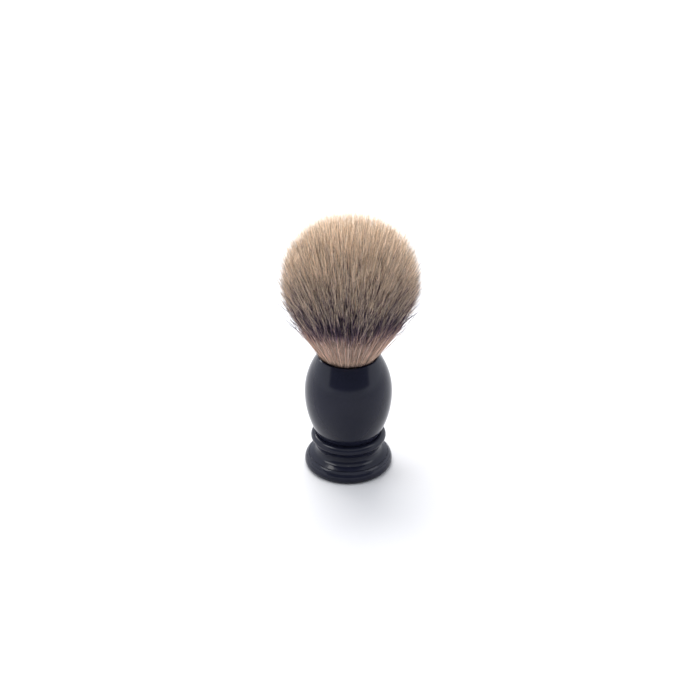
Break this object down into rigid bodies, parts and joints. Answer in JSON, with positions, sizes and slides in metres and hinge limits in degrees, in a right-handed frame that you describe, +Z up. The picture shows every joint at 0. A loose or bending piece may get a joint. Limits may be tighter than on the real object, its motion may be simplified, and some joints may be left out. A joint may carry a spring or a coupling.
{
  "type": "shaving brush",
  "caption": "Shaving brush: a polished black turned handle with a bulbous grip, bead and flared foot, and a fanned, domed badger-hair knot that bends and springs back.",
  "frame": {"origin": "centre of the foot's underside, on the surface the brush stands on", "axes": "+Z up along the turning axis, from the foot to the hair; the brush is round about Z, and -Y is the side seen from the front"},
  "size_m": [0.049, 0.049, 0.1031],
  "materials": {
    "handle_resin": "polished solid black resin with a slight blue cast",
    "pad_cork": "fine-grained pressed cork",
    "plug_plastic": "moulded black plastic",
    "ballast_steel": "turned mild steel",
    "glue": "set epoxy, amber",
    "knot_resin": "set resin, darker amber",
    "binding_thread": "waxed thread, off white",
    "hair": "badger hair: cream tips and roots with a dark band between them"
  },
  "bodies": {
    "handle": {"handle_body": "handle_resin", "base_pad": "pad_cork", "base_plug": "plug_plastic", "ballast_weight": "ballast_steel", "socket_glue": "glue", "knot_plug": "knot_resin", "binding_cord": "binding_thread", "hair_roots": "hair"},
    "lower_hair": {"hair_waist": "hair"},
    "upper_hair": {"hair_bloom": "hair"}
  },
  "joints": [
    {"name": "hair_bend_front_back", "type": "hinge", "parent": "handle", "child": "lower_hair", "pos_m": [0, 0, 0.0556], "axis": [1, 0, 0], "range_deg": [-20, 20], "stiffness_Nm_per_rad": 0.12},
    {"name": "hair_bend_sideways", "type": "hinge", "parent": "lower_hair", "child": "upper_hair", "pos_m": [0, 0, 0.0696], "axis": [0, 1, 0], "range_deg": [-20, 20], "stiffness_Nm_per_rad": 0.08}
  ]
}
